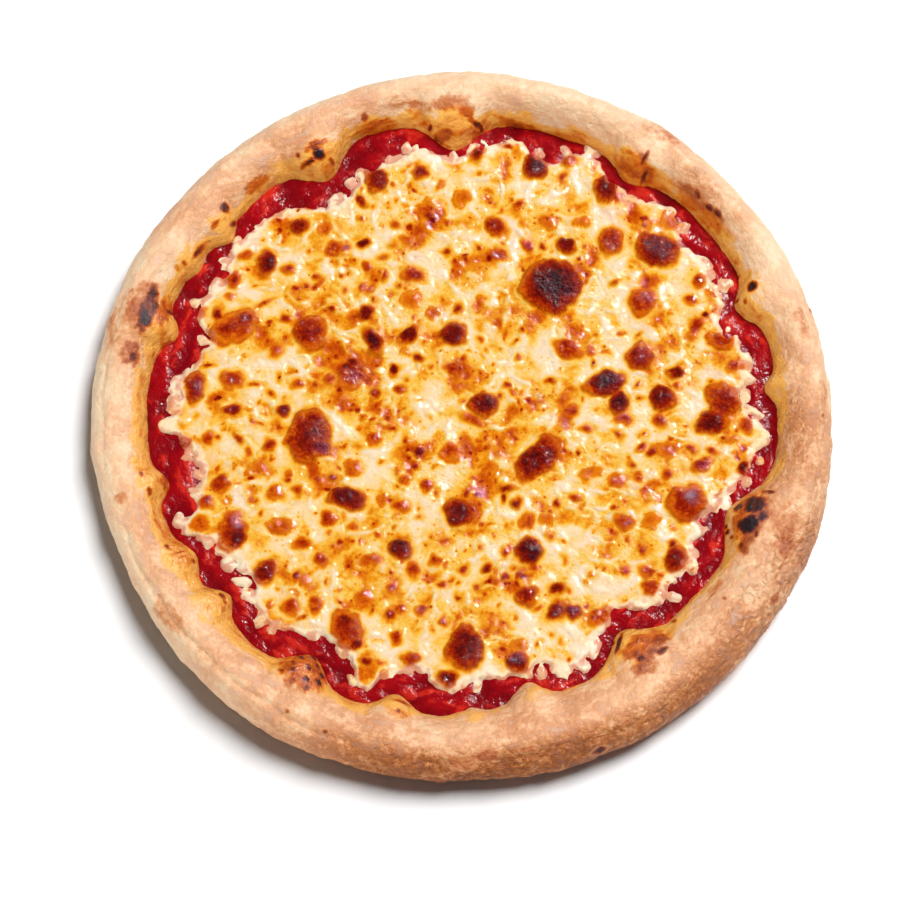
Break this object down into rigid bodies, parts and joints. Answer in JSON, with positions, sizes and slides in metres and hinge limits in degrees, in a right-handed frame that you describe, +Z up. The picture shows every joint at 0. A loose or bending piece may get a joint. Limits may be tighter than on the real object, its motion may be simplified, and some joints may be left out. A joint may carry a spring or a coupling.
{
  "type": "margherita pizza",
  "caption": "Whole round margherita pizza with a puffed dough rim, a ring of tomato sauce and browned melted mozzarella; lies flat on its base.",
  "frame": {"origin": "centre of the pizza's outline, on the flat underside of the dough", "axes": "+Z up through the topping, X and Y in the plane of the table, -Y the side nearest the viewer"},
  "size_m": [0.3026, 0.3044, 0.0232],
  "materials": {
    "crust": "matt baked dough, pale gold with brown patches",
    "tomato_sauce": "wet dark red sauce",
    "cheese": "oily melted cheese, cream with brown blisters"
  },
  "bodies": {
    "root": {"crust": "crust", "tomato_sauce": "tomato_sauce", "cheese": "cheese"}
  },
  "joints": []
}
